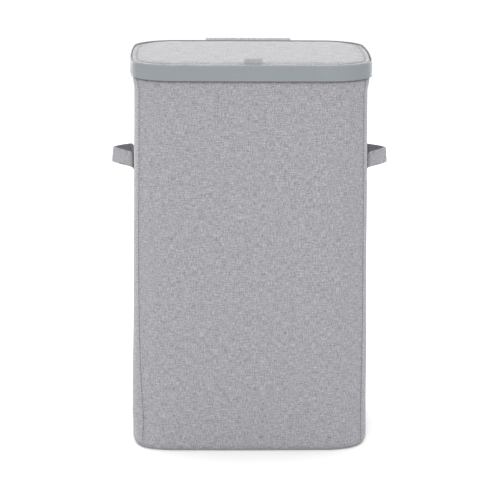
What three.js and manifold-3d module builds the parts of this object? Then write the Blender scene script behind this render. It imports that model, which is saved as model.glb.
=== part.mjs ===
// Laundry hamper with a hinged lid: a tall fabric tub on four corner rods, held open at the top by a
// plastic hoop sewn into the hem. The lid is a plastic frame round a padded, fabric-covered board. A
// fabric strap at the back is its hinge, a folded tab at the front lifts it, and two strap loops on the
// sides carry the tub.
// Millimetres, +Z up, front towards -Y, origin on the floor under the middle of the tub.
import * as THREE from 'three';
import { mergeVertices } from 'three/addons/utils/BufferGeometryUtils.js';
import Module from 'manifold-3d';

const wasm = await Module();
wasm.setup();

// Driving dimensions
const LID_WIDTH = 420;
const LID_DEPTH = 340;
const LID_TOP = 675;
const SKIRT_HEIGHT = 26.5;
const CORNER_RADIUS = 70;
const SIDE_BOW = 9;
const FRONT_BOW = 3;
const GAP = 0.3;

// Tub: how far its wall stands inside the lid's outline, just under the lid and at the floor
const WALL_INSET_TOP = 8;
const WALL_INSET_FLOOR = 0.9;
const WALL = 2.4;
const WALL_TOP = 660.2;
const WALL_BOTTOM = 2.8;
const BOTTOM_ROUND = 11;
const BASE_FABRIC = 2.4;
const BASE_BOARD = 2.5;

// Hoop in the hem
const HOOP = 3;
const HOOP_BOTTOM = 640;
const FACING = 1.5;
const FACING_BOTTOM = 640;
const BINDING = 0.9;

// Corner rods, their end caps and the fabric channels they slide in
const ROD_RADIUS = 3.2;
const CAP_WALL = 0.9;
const CAP_LENGTH = 14;
const CAP_FLOOR = 2;
const ROD_DEPTH = 7.9;
const CHANNEL_BOTTOM = 26;
const CHANNEL_TOP = 618;

// Lid
const FRAME_WALL = 3;
const LEDGE = 13;
const LEDGE_THICKNESS = 2.8;
const LEDGE_BOTTOM = WALL_TOP + BINDING + 2 * GAP;
const BOARD = 2.5;
const FOAM_EDGE = 4.2;
const FOAM_CROWN = 9;
const COVER = 1.2;
const LINING = 1.2;

// Hinge strap at the back
const STRAP_WIDTH = 168;
const STRAP = 1.4;
const STRAP_ABOVE_LID = 3.4;
const STRAP_CLEAR_BELOW = 4.5;
const STRAP_BOTTOM = 596;

// Pull tab at the front
const TAB_WIDTH = 30;
const TAB_HEIGHT = 9.6;
const TAB = 1.6;
const TAB_INSET = 12;
const TAB_FOOT = 676.6;

// Side handles. The slots lie a little lower than the loops, which lift as they come out.
const HANDLE_Z = 492;
const HANDLE_HALF_SPAN = 42;
const HANDLE_REACH = 40;
const HANDLE_TIP_Y = 7;
const HANDLE_WIDTH = 25;
const HANDLE = 2.6;
const PLATE = 2;
const PLATE_HEIGHT = 31;
const PLATE_WIDTH = 9;
const SLOT_HEIGHT = 25.8;
const SLOT_DROP = 2.5;
const SLOT_WIDTH = 3.6;
const ANCHOR_HEIGHT = 40;
const ANCHOR_WIDTH = 18;
const PLATE_GAP = 0.6;

// Steps in the faceted shapes
const SIDE_STEPS = 16;
const CORNER_SHARE = 0.25;
const SEAM_GAP = 0.0008;
const SEAM_STEPS = 1;

// Colours
const finishes = {
  fabric: { color: 0xa6a5aa, roughness: 0.95 },
  lidFabric: { color: 0xc4c6c9, roughness: 0.9 },
  lining: { color: 0x8d8c92, roughness: 0.95 },
  plastic: { color: 0x9da1a4, roughness: 0.5 },
  darkPlastic: { color: 0x3a393c, roughness: 0.5 },
  rod: { color: 0xd8d8d6, roughness: 0.4 },
  board: { color: 0xa08a68, roughness: 0.95 },
  foam: { color: 0xe8e6df, roughness: 1 },
};

const hamper = new THREE.Group();

function addMesh(name, geometry, finish, parent = hamper) {
  const mesh = new THREE.Mesh(geometry, new THREE.MeshStandardMaterial(finishes[finish]));
  mesh.name = name;
  parent.add(mesh);
  return mesh;
}

// The outline seen from above. s runs from 0 to 4 anticlockwise, one unit for each side in the order
// front, right, back, left, with whole numbers at the middle of each rounded corner. inset is how far
// inside the lid's outer edge the point lies.
function outlinePoint(s, inset) {
  const side = ((Math.floor(s) % 4) + 4) % 4;
  const u = s - Math.floor(s);
  const halfWidth = LID_WIDTH / 2 - inset;
  const halfDepth = LID_DEPTH / 2 - inset;
  const radius = CORNER_RADIUS - inset;
  const halfRun = side % 2 === 0 ? halfWidth : halfDepth;
  const distance = side % 2 === 0 ? halfDepth : halfWidth;
  const straight = halfRun - radius;
  const fromEnd = Math.min(u, 1 - u);
  let along = straight * (u - 0.5) / (0.5 - CORNER_SHARE);
  let out = distance;
  if (fromEnd < CORNER_SHARE) {
    const angle = (Math.PI / 4) * (1 - fromEnd / CORNER_SHARE);
    along = Math.sign(u - 0.5) * (straight + radius * Math.sin(angle));
    out = distance - radius + radius * Math.cos(angle);
  }
  const corners = [[along, -out], [out, along], [-along, out], [-out, -along]];
  const [x, y] = corners[side];
  return [
    x * (1 - (SIDE_BOW / halfWidth) * (y / halfDepth) ** 2),
    y * (1 - (FRONT_BOW / halfDepth) * (x / halfWidth) ** 2),
  ];
}

// The tub's outer face: it flares a little towards the floor and rounds under at the bottom edge.
function wallInset(z) {
  const flare = WALL_INSET_FLOOR + (WALL_INSET_TOP - WALL_INSET_FLOOR) * z / LID_TOP;
  const below = Math.max(0, BOTTOM_ROUND - z);
  return flare + BOTTOM_ROUND - Math.sqrt(BOTTOM_ROUND ** 2 - below ** 2);
}

function closed(geometry) {
  geometry.deleteAttribute('normal');
  geometry.deleteAttribute('uv');
  return mergeVertices(geometry, 1e-4);
}

// A strip of wall between two places on the outline. face(z) is the inset of its outer face.
function wallStrip(from, to, steps, levels, face, thickness) {
  const geometry = new THREE.BoxGeometry(1, 1, 1, steps, levels.length - 1, 1);
  const position = geometry.attributes.position;
  for (let i = 0; i < position.count; i += 1) {
    const s = from + (to - from) * (position.getX(i) + 0.5);
    const z = levels[Math.round((position.getY(i) + 0.5) * (levels.length - 1))];
    const inner = position.getZ(i) < 0;
    const [x, y] = outlinePoint(s, face(z) + (inner ? thickness : 0));
    position.setXYZ(i, x, y, z);
  }
  return closed(geometry);
}

// A ring or plate that follows the outline. Each section point is [inset, z], or [inset, z, scale] to
// shrink the outline towards its middle; a scale of 0 is on the centre line. Points go round the
// section anticlockwise, with the outside of the hamper on the right.
function outlineRing(section, steps = 4 * SIDE_STEPS) {
  const points = section.map(([inset, z, scale = 1]) => new THREE.Vector2(scale * (1000 - inset), z));
  const geometry = new THREE.LatheGeometry(points, steps);
  const { position, uv } = geometry.attributes;
  for (let i = 0; i < position.count; i += 1) {
    const [inset, z, scale = 1] = section[Math.round(uv.getY(i) * (section.length - 1))];
    const [x, y] = outlinePoint((4 * uv.getX(i)) % 4, inset);
    position.setXYZ(i, scale * x, scale * y, z);
  }
  return closed(geometry);
}

function loop(section) {
  return [...section, section[0]];
}

function plate(inset, bottom, top) {
  return outlineRing([[inset, bottom, 0], [inset, bottom], [inset, top], [inset, top, 0]]);
}

// A solid of revolution about +Z, standing on z = 0.
function turned(profile, segments = 12) {
  const points = profile.map(([r, z]) => new THREE.Vector2(r, z));
  return new THREE.LatheGeometry(points, segments).rotateX(Math.PI / 2);
}

function toManifold(geometry) {
  return new wasm.Manifold(new wasm.Mesh({
    numProp: 3,
    vertProperties: new Float32Array(geometry.attributes.position.array),
    triVerts: new Uint32Array(geometry.index.array),
  }));
}

function fromManifold(solid) {
  const mesh = solid.getMesh();
  const geometry = new THREE.BufferGeometry();
  geometry.setAttribute('position', new THREE.BufferAttribute(mesh.vertProperties, 3));
  geometry.setIndex(new THREE.BufferAttribute(mesh.triVerts, 1));
  return geometry;
}

// Where a handle's ends meet the side wall, and how far out the middle of the swing is
const handleEnds = { front: -HANDLE_HALF_SPAN, rear: HANDLE_HALF_SPAN };
const sideWallX = LID_WIDTH / 2 - wallInset(HANDLE_Z);
const endWallX = sideWallX - SIDE_BOW * (HANDLE_HALF_SPAN / (LID_DEPTH / 2)) ** 2;
const plateFace = endWallX + PLATE_GAP + PLATE;
const pivotX = plateFace + 3 * GAP + HANDLE_WIDTH / 2;
const slotZ = HANDLE_Z - SLOT_DROP;

// Tub walls: four fabric panels. The front and back panels wrap a little past the middle of the corners,
// and the seams with the side panels lie there.
function wallLevels() {
  const straight = [60, 140, 220, 300, 380, 460, 540, 600, 640];
  return [WALL_BOTTOM, 4.5, 7, BOTTOM_ROUND, ...straight, WALL_TOP];
}

function handleSlots(side) {
  return Object.values(handleEnds).map((y) => {
    const slot = new THREE.BoxGeometry(8 * WALL, SLOT_WIDTH, SLOT_HEIGHT);
    slot.translate(side * endWallX, y, slotZ);
    return toManifold(closed(slot));
  });
}

function addWalls() {
  const panels = ['front_panel', 'right_panel', 'back_panel', 'left_panel'];
  panels.forEach((name, side) => {
    const wrap = side % 2 === 0 ? SEAM_STEPS : -SEAM_STEPS;
    const reach = wrap / SIDE_STEPS - SEAM_GAP;
    const steps = SIDE_STEPS + 2 * wrap;
    let panel = wallStrip(side - reach, side + 1 + reach, steps, wallLevels(), wallInset, WALL);
    const slotted = { 1: 1, 3: -1 }[side];
    if (slotted) {
      panel = fromManifold(handleSlots(slotted).reduce((a, b) => a.subtract(b), toManifold(panel)));
    }
    addMesh(name, panel, 'fabric');
  });
}

// Floor of the tub: the fabric that the tub stands on, and the loose board laid over it
function addBase() {
  const edge = wallInset(WALL_BOTTOM) + 1;
  addMesh('base_panel', outlineRing([
    [edge, 0, 0],
    [edge + 1.6, 0],
    [edge, 1],
    [edge, BASE_FABRIC],
    [edge, BASE_FABRIC, 0],
  ]), 'fabric');
  const boardBottom = BASE_FABRIC + GAP;
  const boardInset = wallInset(boardBottom) + WALL + 2 * GAP;
  addMesh('base_board', plate(boardInset, boardBottom, boardBottom + BASE_BOARD), 'board');
}

// Hem: the hoop that keeps the mouth open, the facing sewn behind it and the binding over the edge
const hoopInset = wallInset(HOOP_BOTTOM) + WALL + GAP;
const facingInset = hoopInset + HOOP + GAP;

function bandSection(outer, thickness, bottom, top) {
  return loop([[outer + thickness, bottom], [outer, bottom], [outer, top], [outer + thickness, top]]);
}

function addHem() {
  addMesh('top_hoop', outlineRing(bandSection(hoopInset, HOOP, HOOP_BOTTOM, WALL_TOP)), 'plastic');
  const facing = bandSection(facingInset, FACING, FACING_BOTTOM, WALL_TOP);
  addMesh('hem_facing', outlineRing(facing), 'lining');
  const outer = wallInset(WALL_TOP);
  const bindingBottom = WALL_TOP + GAP;
  const width = facingInset + FACING - outer;
  const binding = bandSection(outer, width, bindingBottom, bindingBottom + BINDING);
  addMesh('hem_binding', outlineRing(binding), 'fabric');
}

// Corner rods: each stands on the base board in a foot cap and pushes up under the hoop with its top cap
function addCornerRod(corner, name) {
  const floor = BASE_FABRIC + BASE_BOARD + 3 * GAP;
  const ceiling = HOOP_BOTTOM - GAP;
  const place = (z) => new THREE.Vector3(...outlinePoint(corner, wallInset(z) + ROD_DEPTH), z);
  const foot = place(BOTTOM_ROUND).setZ(floor);
  const head = place(ceiling);
  const direction = head.clone().sub(foot).normalize();
  const rod = new THREE.Group();
  rod.position.copy(foot);
  rod.quaternion.setFromUnitVectors(new THREE.Vector3(0, 0, 1), direction);
  hamper.add(rod);

  const length = foot.distanceTo(head);
  const bore = ROD_RADIUS + GAP;
  const cap = [[0, 0], [bore + CAP_WALL, 0], [bore + CAP_WALL, CAP_LENGTH]];
  const cup = turned([...cap, [bore, CAP_LENGTH], [bore, CAP_FLOOR], [0, CAP_FLOOR]]);
  const rodLength = length - 2 * (CAP_FLOOR + GAP);
  const shaft = turned([[0, 0], [ROD_RADIUS, 0], [ROD_RADIUS, rodLength], [0, rodLength]]);
  addMesh(`rod_${name}`, shaft, 'rod', rod).position.z = CAP_FLOOR + GAP;
  addMesh(`rod_foot_${name}`, cup, 'darkPlastic', rod).position.z = GAP;
  const top = addMesh(`rod_cap_${name}`, cup.clone(), 'darkPlastic', rod);
  top.position.z = length - GAP;
  top.rotation.x = Math.PI;

  const channelLength = CHANNEL_TOP - CHANNEL_BOTTOM;
  const sleeve = bore + CAP_WALL;
  const tube = [[bore, 0], [sleeve, 0], [sleeve, channelLength], [bore, channelLength], [bore, 0]];
  addMesh(`rod_channel_${name}`, turned(tube), 'lining', rod).position.z = CHANNEL_BOTTOM;
}

// Lid: frame with its ledge, board, foam, cover and lining
function addLid() {
  const skirtBottom = LID_TOP - SKIRT_HEIGHT;
  const ledgeTop = LEDGE_BOTTOM + LEDGE_THICKNESS;
  addMesh('lid_frame', outlineRing(loop([
    [FRAME_WALL, skirtBottom],
    [0.6, skirtBottom],
    [0, skirtBottom + 0.8],
    [0, LID_TOP - 1.6],
    [0.5, LID_TOP - 0.5],
    [1.5, LID_TOP],
    [FRAME_WALL, LID_TOP],
    [FRAME_WALL, ledgeTop],
    [LEDGE, ledgeTop],
    [LEDGE, LEDGE_BOTTOM],
    [FRAME_WALL, LEDGE_BOTTOM],
  ])), 'plastic');

  const coverOuter = FRAME_WALL + GAP;
  const padInset = coverOuter + COVER + GAP;
  const boardBottom = ledgeTop + GAP;
  const boardTop = boardBottom + BOARD;
  addMesh('lid_board', plate(padInset, boardBottom, boardTop), 'board');

  const foamBottom = boardTop + GAP;
  const crown = [[1, 0], [0.97, 0.35], [0.88, 0.62], [0.7, 0.83], [0.4, 0.96], [0, 1]];
  const crownAt = (inset, edge, rise) => crown.map(([scale, up]) => [inset, edge + rise * up, scale]);
  const rise = FOAM_CROWN - FOAM_EDGE;
  const foamEdge = foamBottom + FOAM_EDGE;
  addMesh('lid_foam', outlineRing([
    [padInset, foamBottom, 0],
    [padInset, foamBottom],
    ...crownAt(padInset, foamEdge, rise),
  ]), 'foam');

  const coverInner = crownAt(padInset - GAP, foamEdge + GAP, rise);
  addMesh('lid_cover', outlineRing([
    ...coverInner.reverse(),
    [padInset - GAP, boardBottom],
    [coverOuter, boardBottom],
    ...crownAt(coverOuter, foamEdge + GAP + COVER, rise),
  ]), 'lidFabric');

  const liningInset = LEDGE + GAP;
  addMesh('lid_lining', plate(liningInset, ledgeTop - LINING, ledgeTop), 'lining');
}

// Hinge strap: one half sewn to the lid frame, the other to the back panel; it flexes between them
const strapShare = (1 - 2 * CORNER_SHARE) * STRAP_WIDTH / (LID_WIDTH - 2 * CORNER_RADIUS);
const strapEnds = [2.5 - strapShare / 2, 2.5 + strapShare / 2];
const hingeZ = LID_TOP - SKIRT_HEIGHT;

function addHingeStrap() {
  const upper = [hingeZ + GAP, LID_TOP, LID_TOP + STRAP_ABOVE_LID];
  addMesh('hinge_strap_lid', wallStrip(...strapEnds, 6, upper, () => -GAP - STRAP, STRAP), 'fabric');
  const lower = [STRAP_BOTTOM, 620, hingeZ - STRAP_CLEAR_BELOW];
  const face = (z) => wallInset(z) - GAP - STRAP;
  addMesh('hinge_strap_body', wallStrip(...strapEnds, 6, lower, face, STRAP), 'fabric');
}

// Pull tab: a folded strip standing in the seam round the lid's cover
function addPullTab() {
  const shape = new THREE.Shape();
  shape.absarc(0, 0, TAB / 2, Math.PI, 2 * Math.PI);
  shape.lineTo(TAB / 2, TAB_HEIGHT - TAB / 2);
  shape.absarc(0, TAB_HEIGHT - TAB / 2, TAB / 2, 0, Math.PI);
  const tab = new THREE.ExtrudeGeometry(shape, { depth: TAB_WIDTH, bevelEnabled: false, curveSegments: 6 });
  tab.translate(0, 0, -TAB_WIDTH / 2).rotateX(Math.PI / 2).rotateZ(Math.PI / 2);
  const mesh = addMesh('pull_tab', tab, 'fabric');
  mesh.position.set(0, TAB_INSET - LID_DEPTH / 2, TAB_FOOT);
}

// Handles: a strap loop with a soft fold at its tip. The loop swings about a line through its two ends,
// which are rounded about that line; fixed tails carry the strap through the wall.
function handlePath() {
  const rootX = plateFace + GAP + HANDLE / 2;
  const start = new THREE.Vector2(rootX, -HANDLE_HALF_SPAN);
  const end = new THREE.Vector2(rootX, HANDLE_HALF_SPAN);
  const tip = new THREE.Vector2(sideWallX + HANDLE_REACH, HANDLE_TIP_Y);
  const path = new THREE.CurvePath();
  path.add(new THREE.QuadraticBezierCurve(start, new THREE.Vector2(pivotX + 4, -28), tip));
  path.add(new THREE.QuadraticBezierCurve(tip, new THREE.Vector2(pivotX + 10, 33), end));
  return path;
}

function addHandle(name, side) {
  const path = handlePath();
  const steps = 24;
  const points = Array.from({ length: steps + 1 }, (_, i) => path.getPoint(i / steps));
  const geometry = new THREE.BoxGeometry(1, 1, 1, steps, 1, 1);
  const position = geometry.attributes.position;
  for (let i = 0; i < position.count; i += 1) {
    const k = Math.round((position.getX(i) + 0.5) * steps);
    const before = points[Math.max(0, k - 1)];
    const after = points[Math.min(steps, k + 1)];
    const heading = after.clone().sub(before).normalize();
    const offset = HANDLE * position.getZ(i);
    const x = points[k].x + heading.y * offset;
    const y = points[k].y - heading.x * offset;
    const inside = Math.min(HANDLE_WIDTH / 2, Math.max(0, pivotX - x));
    const halfHeight = Math.max(1.5, Math.sqrt((HANDLE_WIDTH / 2) ** 2 - inside ** 2));
    position.setXYZ(i, x, side * y, HANDLE_Z + 2 * side * halfHeight * position.getY(i));
  }
  const strap = closed(geometry);
  if (side < 0) strap.rotateZ(Math.PI);
  addMesh(`handle_${name}`, strap, 'fabric');
}

function roundedPlate(height, width, thickness, slot) {
  const shape = new THREE.Shape();
  const straight = (height - width) / 2;
  shape.absarc(0, straight, width / 2, 0, Math.PI);
  shape.absarc(0, -straight, width / 2, Math.PI, 2 * Math.PI);
  if (slot) {
    const hole = new THREE.Path();
    hole.moveTo(-SLOT_WIDTH / 2, -SLOT_HEIGHT / 2).lineTo(SLOT_WIDTH / 2, -SLOT_HEIGHT / 2);
    hole.lineTo(SLOT_WIDTH / 2, SLOT_HEIGHT / 2).lineTo(-SLOT_WIDTH / 2, SLOT_HEIGHT / 2);
    shape.holes.push(hole);
  }
  const extruded = new THREE.ExtrudeGeometry(shape, { depth: thickness, bevelEnabled: false, curveSegments: 6 });
  return extruded.rotateX(Math.PI / 2).rotateZ(Math.PI / 2);
}

function addHandleFittings(name, side) {
  for (const [end, y] of Object.entries(handleEnds)) {
    const outer = side * (endWallX + PLATE_GAP);
    const slotPlate = roundedPlate(PLATE_HEIGHT, PLATE_WIDTH, PLATE, true);
    addMesh(`slot_plate_${name}_${end}`, slotPlate, 'darkPlastic').position.set(outer, y, slotZ);
    const anchor = roundedPlate(ANCHOR_HEIGHT, ANCHOR_WIDTH, PLATE, false);
    const behind = side * (endWallX - WALL - PLATE_GAP - PLATE);
    addMesh(`anchor_plate_${name}_${end}`, anchor, 'darkPlastic').position.set(behind, y, slotZ);
    if (side < 0) {
      slotPlate.rotateZ(Math.PI);
      anchor.rotateZ(Math.PI);
    }
    const from = endWallX - WALL - PLATE_GAP + GAP;
    const tail = new THREE.BoxGeometry(plateFace - from, HANDLE, HANDLE_WIDTH);
    addMesh(`strap_tail_${name}_${end}`, tail, 'fabric').position
      .set(side * (from + plateFace) / 2, y, slotZ);
  }
}

addWalls();
addBase();
addHem();
['front_left', 'front_right', 'back_right', 'back_left'].forEach((name, i) => addCornerRod(i, name));
addLid();
addHingeStrap();
addPullTab();
for (const [name, side] of [['left', -1], ['right', 1]]) {
  addHandle(name, side);
  addHandleFittings(name, side);
}

export default hamper;
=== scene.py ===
"""The looks of the laundry hamper: fabric, stitching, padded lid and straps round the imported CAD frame.

Metres, +Z up, the front towards -Y. Insets and heights follow the CAD part's own outline.
"""
import math

import bmesh
import bpy
import numpy as np
from mathutils import Matrix, Vector


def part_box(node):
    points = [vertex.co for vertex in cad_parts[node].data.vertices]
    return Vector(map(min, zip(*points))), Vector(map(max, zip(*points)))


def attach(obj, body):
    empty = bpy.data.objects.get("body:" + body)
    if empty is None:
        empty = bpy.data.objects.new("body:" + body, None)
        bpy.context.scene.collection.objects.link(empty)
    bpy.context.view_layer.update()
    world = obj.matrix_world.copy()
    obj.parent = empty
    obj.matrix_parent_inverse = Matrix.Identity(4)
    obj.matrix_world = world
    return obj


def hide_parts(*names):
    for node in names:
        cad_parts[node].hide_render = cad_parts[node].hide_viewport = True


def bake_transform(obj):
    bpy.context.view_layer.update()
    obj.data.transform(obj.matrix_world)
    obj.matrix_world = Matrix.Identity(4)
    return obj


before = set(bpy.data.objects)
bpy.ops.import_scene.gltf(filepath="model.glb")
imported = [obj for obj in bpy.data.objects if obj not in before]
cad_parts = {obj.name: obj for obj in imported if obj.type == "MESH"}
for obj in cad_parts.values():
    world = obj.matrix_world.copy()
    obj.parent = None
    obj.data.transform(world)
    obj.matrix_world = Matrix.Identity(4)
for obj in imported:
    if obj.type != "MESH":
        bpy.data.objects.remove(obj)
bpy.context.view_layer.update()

MM = 0.001
SCENE = bpy.context.scene

# The outline and the tub, as in the CAD part
LID_WIDTH = 420 * MM
LID_DEPTH = 340 * MM
LID_TOP = 675 * MM
CORNER_RADIUS = 70 * MM
SIDE_BOW = 9 * MM
FRONT_BOW = 3 * MM
CORNER_SHARE = 0.25
WALL_INSET_TOP = 8 * MM
WALL_INSET_FLOOR = 0.9 * MM
BOTTOM_ROUND = 11 * MM
WALL = 2.4 * MM
WALL_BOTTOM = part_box("front_panel")[0].z
WALL_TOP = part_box("front_panel")[1].z
LEAST_RADIUS = 12 * MM  # of a ring well inside the outline
CORNER_RUN = 0.2191  # the way round a corner for each unit of the outline's s
HEM_Z = 655 * MM
FLOOR_SPREAD = ((-1, 6.5 * MM), (1, 2.5 * MM))  # how far the left and right front corners stand out

# Handles, as in the CAD part
HANDLE_Z = 492 * MM
SLOT_Z = 489.5 * MM
HANDLE_HALF_SPAN = 42 * MM
HANDLE_TIP_Y = 7 * MM
PLATE_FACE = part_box("slot_plate_right_front")[1].x
HANDLE_TIP_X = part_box("handle_right")[1].x
PIVOT_X = PLATE_FACE + 13.4 * MM
SLOT_HEIGHT = 25.8 * MM
SLOT_WIDTH = 3.6 * MM


# ------------------------ shapes

def outline(s, inset):
    """Points on the hamper's outline. s runs 0 to 4 anticlockwise: front, right, back, left."""
    s, inset = np.broadcast_arrays(np.asarray(s, float), np.asarray(inset, float))
    side = np.floor(s).astype(int) % 4
    u = s - np.floor(s)
    half_width = LID_WIDTH / 2 - inset
    half_depth = np.maximum(LID_DEPTH / 2 - inset, 1e-9)
    radius = np.minimum(np.maximum(CORNER_RADIUS - inset, LEAST_RADIUS), half_depth)
    lengthwise = side % 2 == 0
    straight = np.where(lengthwise, half_width, half_depth) - radius
    distance = np.where(lengthwise, half_depth, half_width)
    from_end = np.minimum(u, 1 - u)
    angle = np.pi / 4 * (1 - from_end / CORNER_SHARE)
    corner = from_end < CORNER_SHARE
    along = np.where(corner, np.sign(u - 0.5) * (straight + radius * np.sin(angle)),
                     straight * (u - 0.5) / (0.5 - CORNER_SHARE))
    out = np.where(corner, distance - radius + radius * np.cos(angle), distance)
    x = np.choose(side, [along, out, -along, -out])
    y = np.choose(side, [-out, along, out, -along])
    return np.stack([
        x * (1 - SIDE_BOW / half_width * (y / half_depth) ** 2),
        y * (1 - FRONT_BOW / half_depth * (x / half_width) ** 2),
    ], -1)


def wall_inset(z):
    """How far inside the outline the tub's outer face stands at height z."""
    flare = WALL_INSET_FLOOR + (WALL_INSET_TOP - WALL_INSET_FLOOR) * z / LID_TOP
    below = np.maximum(0, BOTTOM_ROUND - z)
    return flare + BOTTOM_ROUND - np.sqrt(BOTTOM_ROUND ** 2 - below ** 2)


def swell(z):
    """How far the cloth stands out below the lid's rim, where it goes in over the hoop."""
    return 2.8 * MM * smooth((z - 622 * MM) / (20 * MM)) * smooth((648.2 * MM - z) / (4.6 * MM))


def run_lengths(points):
    """Distance along a line of points, from its first one."""
    return np.concatenate([[0], np.cumsum(np.linalg.norm(np.diff(points, axis=0), axis=1))])


def read_along(values, run, distance):
    """Values that are given at the run lengths, read at other distances."""
    return np.stack([np.interp(distance, run, column) for column in values.T], -1)


def resample(path, count):
    """The same line with evenly spaced points."""
    run = run_lengths(path)
    return read_along(path, run, np.linspace(0, run[-1], count))


def relax(path, times):
    """Rounds a line's bends. Its ends stay."""
    path = path.copy()
    for _ in range(times):
        path[1:-1] = (path[:-2] + 2 * path[1:-1] + path[2:]) / 4
    return path


def mirrored(half, middle):
    """A symmetric line of (a, b) points, from its half on the side of negative a and its middle point."""
    return half + [middle] + [(-a, b) for a, b in half[::-1]]


# Distances round the outline, from the middle of the front
ARC_S = np.linspace(-0.5, 4.5, 5001)
ARC = run_lengths(outline(ARC_S, 3 * MM))
ARC -= np.interp(0.5, ARC_S, ARC)


def arc_of(s):
    return np.interp(s, ARC_S, ARC)


def s_of(arc):
    return np.interp(arc, ARC, ARC_S)


def smooth(t):
    t = np.clip(t, 0, 1)
    return t * t * (3 - 2 * t)


def undulation(seed, u, v, size, longest=0.35, shortest=0.12, lean=0.45):
    """Soft irregular waves of about that size, mostly running across u."""
    random = np.random.default_rng(seed)
    total = 0
    waves = 7
    for _ in range(waves):
        angle = random.normal(0, lean)
        pace = 2 * np.pi / random.uniform(shortest, longest)
        total = total + np.sin(pace * (u * np.cos(angle) + v * np.sin(angle)) + random.uniform(0, 2 * np.pi))
    return size * total / math.sqrt(waves)


def spread(points):
    """Pushes the cloth out a little over the two front corners, close to the floor."""
    points = np.array(points, float)
    radius = CORNER_RADIUS - WALL_INSET_FLOOR
    for end, push in FLOOR_SPREAD:
        centre = np.array([end * (LID_WIDTH / 2 - CORNER_RADIUS), -(LID_DEPTH / 2 - CORNER_RADIUS)])
        away = points[..., :2] - centre
        far = np.linalg.norm(away, axis=-1)
        turn = np.arctan2(-away[..., 1], end * away[..., 0]) - math.pi / 4
        share = np.exp(-(turn / 0.5) ** 2) * smooth(far / radius)
        share = share * smooth((48 * MM - points[..., 2]) / (44 * MM))
        points[..., :2] += (push * share / np.maximum(far, 1e-6))[..., None] * away
    return points


def crease(u, v, start, end, width, height):
    """A soft fold along a line, highest in its middle."""
    du, dv = end[0] - start[0], end[1] - start[1]
    length = math.hypot(du, dv)
    t = ((u - start[0]) * du + (v - start[1]) * dv) / length ** 2
    across = ((u - start[0]) * dv - (v - start[1]) * du) / length
    return height * np.exp(-(across / width) ** 2) * np.sin(np.pi * np.clip(t, 0, 1))


def joined(*parts):
    """Coordinates of matching shapes as one array of points."""
    return np.stack(np.broadcast_arrays(*parts), -1)


def with_z(plan, z):
    z = np.broadcast_to(np.asarray(z, float)[..., None], plan.shape[:-1] + (1,))
    return np.concatenate([plan, z], -1)


def in_metres(rows, edge=0.0):
    """Rows of (inset, z) in millimetres as metres, with the insets counted from edge."""
    return [(edge + inset * MM, z * MM) for inset, z in rows]


# ------------------------ meshes

def put(name, data):
    """A new object in the scene."""
    obj = bpy.data.objects.new(name, data)
    SCENE.collection.objects.link(obj)
    return obj


def piece(name, vertices, faces, corner_uv, materials, angle):
    """A mesh object with its weave coordinates. Edges sharper than angle stay sharp, unless it is 0."""
    mesh = bpy.data.meshes.new(name)
    mesh.from_pydata(np.asarray(vertices).tolist(), [], [list(map(int, f)) for f in faces])
    layer = mesh.uv_layers.new(name="weave")
    layer.data.foreach_set("uv", np.asarray(corner_uv, np.float32).reshape(-1))
    for material in materials:
        mesh.materials.append(material)
    mesh.polygons.foreach_set("use_smooth", [True] * len(mesh.polygons))
    mesh.update()
    if angle:
        mesh.set_sharp_from_angle(angle=math.radians(angle))
    return put(name, mesh)


def grid_piece(name, points, uv, materials, wrap_rows=False, wrap_columns=False, angle=40):
    """A net of quads over points[row, column]. Seen from its face, rows go up and columns go right.
    uv has one more row or column than points where the net wraps round."""
    rows, columns = points.shape[:2]
    r, c = np.meshgrid(
        np.arange(rows - (not wrap_rows)), np.arange(columns - (not wrap_columns)), indexing="ij")
    corners = [(r, c), (r, c + 1), (r + 1, c + 1), (r + 1, c)]
    faces = np.stack([(a % rows) * columns + b % columns for a, b in corners], -1).reshape(-1, 4)
    corner_uv = np.stack([uv[a, b] for a, b in corners], -2)
    return piece(name, points.reshape(-1, 3), faces, corner_uv, materials, angle)


def thicken(obj, thickness, outwards=False, back_material=0, round_edges=0):
    """Gives a sheet its thickness, on the side away from its face unless outwards."""
    solid = obj.modifiers.new("thickness", "SOLIDIFY")
    solid.thickness = thickness
    solid.offset = 1 if outwards else -1
    solid.use_even_offset = True
    solid.material_offset = back_material
    if round_edges:
        bevel = obj.modifiers.new("rounding", "BEVEL")
        bevel.width = round_edges
        bevel.segments = 2
        bevel.limit_method = "ANGLE"
        bevel.angle_limit = math.radians(50)
    settle(obj)


def settle(obj):
    """Applies the piece's modifiers."""
    graph = bpy.context.evaluated_depsgraph_get()
    mesh = bpy.data.meshes.new_from_object(obj.evaluated_get(graph), depsgraph=graph)
    mesh.name = obj.name
    obj.modifiers.clear()
    obj.data = mesh
    mesh.polygons.foreach_set("use_smooth", [True] * len(mesh.polygons))
    mesh.set_sharp_from_angle(angle=math.radians(40))


def sweep_ring(name, section, materials, spacing, closed=True, angle=40):
    """A section of (inset, z) points in metres carried round the outline."""
    section = np.array(section)
    start, end = arc_of(0), arc_of(4)
    arcs = np.linspace(start, end, round((end - start) / spacing) + 1)
    points = with_z(outline(s_of(arcs)[None, :-1], section[:, :1]), section[:, 1:])
    loop = np.vstack([section, section[:1]]) if closed else section
    around = run_lengths(loop)
    uv = joined(arcs[None, :], around[:, None])
    return grid_piece(name, points, uv, materials, closed, True, angle)


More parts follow.
